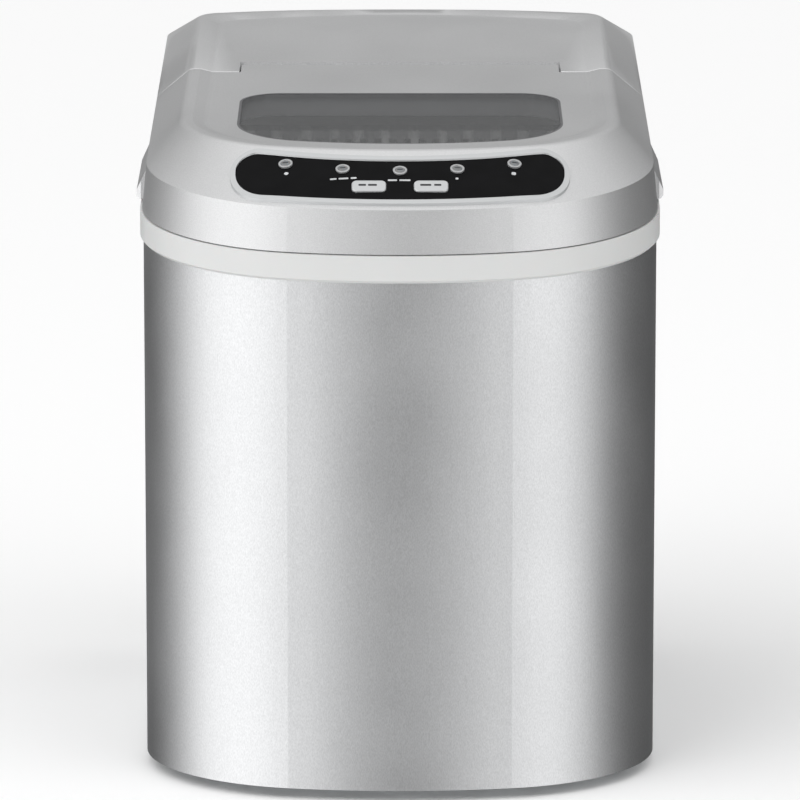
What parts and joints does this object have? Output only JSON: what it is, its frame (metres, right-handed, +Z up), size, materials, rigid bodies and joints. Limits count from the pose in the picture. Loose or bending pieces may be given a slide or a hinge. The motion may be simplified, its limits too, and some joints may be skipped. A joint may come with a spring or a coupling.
{
  "type": "ice maker",
  "caption": "Countertop ice maker: silver cabinet with a rounded front, rear-hinged lid with clear window and sloped control panel, ice basket, tipping tray and cooling unit inside.",
  "frame": {"origin": "on the floor, under the centre of the cabinet", "axes": "+Z up, the front with the control panel faces -Y, +X is to the right seen from the front"},
  "size_m": [0.245, 0.358, 0.3279],
  "materials": {
    "silver_enamel": "satin metallic enamel on sheet steel",
    "silver_plastic": "metallic silver lacquer on moulded plastic",
    "pale_plastic": "fine grained light grey plastic",
    "white_plastic": "smooth food grade white plastic",
    "clear_plastic": "clear polished plastic",
    "black_gloss": "printed gloss film",
    "trim_plastic": "satin light grey plastic",
    "lens_plastic": "frosted lens",
    "black_rubber": "matte rubber",
    "dark_plastic": "textured black plastic",
    "plated_steel": "bright plated steel",
    "galvanised": "galvanised sheet",
    "nickel": "nickel plated copper",
    "copper": "drawn copper tube",
    "black_enamel": "black enamel",
    "aluminium": "mill finish fins",
    "foam": "expanded bead foam",
    "circuit_board": "solder masked board with parts",
    "clear_hose": "soft silicone hose"
  },
  "bodies": {
    "cabinet": {"base_pan": "galvanised", "rubber_feet": "black_rubber", "foot_screws": "plated_steel", "body_wrap": "silver_enamel", "air_outlet_grille": "dark_plastic", "rear_panel": "galvanised", "rear_panel_screws": "plated_steel", "cord_gland": "dark_plastic", "drain_spout": "pale_plastic", "top_frame": "pale_plastic", "rear_top_cover": "silver_plastic", "inner_tub": "white_plastic", "tub_insulation": "foam", "ice_ramp": "white_plastic", "evaporator_fingers": "nickel", "evaporator_manifold": "nickel", "evaporator_cover": "trim_plastic", "tray_bracket": "white_plastic", "tray_gear_motor": "dark_plastic", "suction_line": "copper", "hot_gas_line": "copper", "compressor": "black_enamel", "compressor_grommets": "black_rubber", "compressor_bolts": "plated_steel", "condenser_tube": "copper", "condenser_fins": "aluminium", "fan_shroud": "galvanised", "fan_motor": "black_enamel", "filter_drier": "copper", "hot_gas_valve": "plated_steel", "discharge_line": "copper", "board_box": "white_plastic", "main_board": "circuit_board", "water_pump": "dark_plastic", "pump_hose": "clear_hose", "drain_hose": "clear_hose", "ice_full_sensors": "dark_plastic", "level_probes": "plated_steel"},
    "lid": {"lid_shell": "silver_plastic", "hinge_pins": "plated_steel", "lid_window": "clear_plastic", "window_gasket": "dark_plastic", "lid_liner": "trim_plastic", "control_overlay": "black_gloss", "control_bezel": "trim_plastic", "indicator_lenses": "lens_plastic", "display_board": "circuit_board"},
    "power_button": {"power_button": "trim_plastic"},
    "select_button": {"select_button": "trim_plastic"},
    "basket": {"ice_basket": "white_plastic"},
    "scoop": {"ice_scoop": "clear_plastic"},
    "tray": {"water_tray": "white_plastic", "tray_pins": "plated_steel", "ice_pusher": "white_plastic"},
    "fan": {"fan_blade": "dark_plastic"},
    "plug": {"drain_plug": "black_rubber"}
  },
  "joints": [
    {"name": "lid_hinge", "type": "hinge", "parent": "cabinet", "child": "lid", "pos_m": [0, 0.047, 0.30772], "axis": [-1, 0, 0], "range_deg": [0, 88]},
    {"name": "power_button_press", "type": "slide", "parent": "lid", "child": "power_button", "axis": [0, 0.5292, -0.8485], "range_m": [0, 0.0008], "stiffness_N_per_m": 400},
    {"name": "select_button_press", "type": "slide", "parent": "lid", "child": "select_button", "axis": [0, 0.5292, -0.8485], "range_m": [0, 0.0008], "stiffness_N_per_m": 400},
    {"name": "basket_lift", "type": "slide", "parent": "cabinet", "child": "basket", "axis": [0, 0, 1], "range_m": [0, 0.05]},
    {"name": "scoop_lift", "type": "slide", "parent": "basket", "child": "scoop", "axis": [0, 0, 1], "range_m": [0, 0.04]},
    {"name": "tray_tip", "type": "hinge", "parent": "cabinet", "child": "tray", "pos_m": [0, 0.012, 0.248], "axis": [1, 0, 0], "range_deg": [0, 85]},
    {"name": "fan_spin", "type": "hinge", "parent": "cabinet", "child": "fan", "pos_m": [-0.0808, 0.1133, 0.091], "axis": [1, 0, 0], "continuous": true},
    {"name": "drain_plug_pull", "type": "slide", "parent": "cabinet", "child": "plug", "axis": [0, 1, 0], "range_m": [0, 0.012]}
  ]
}
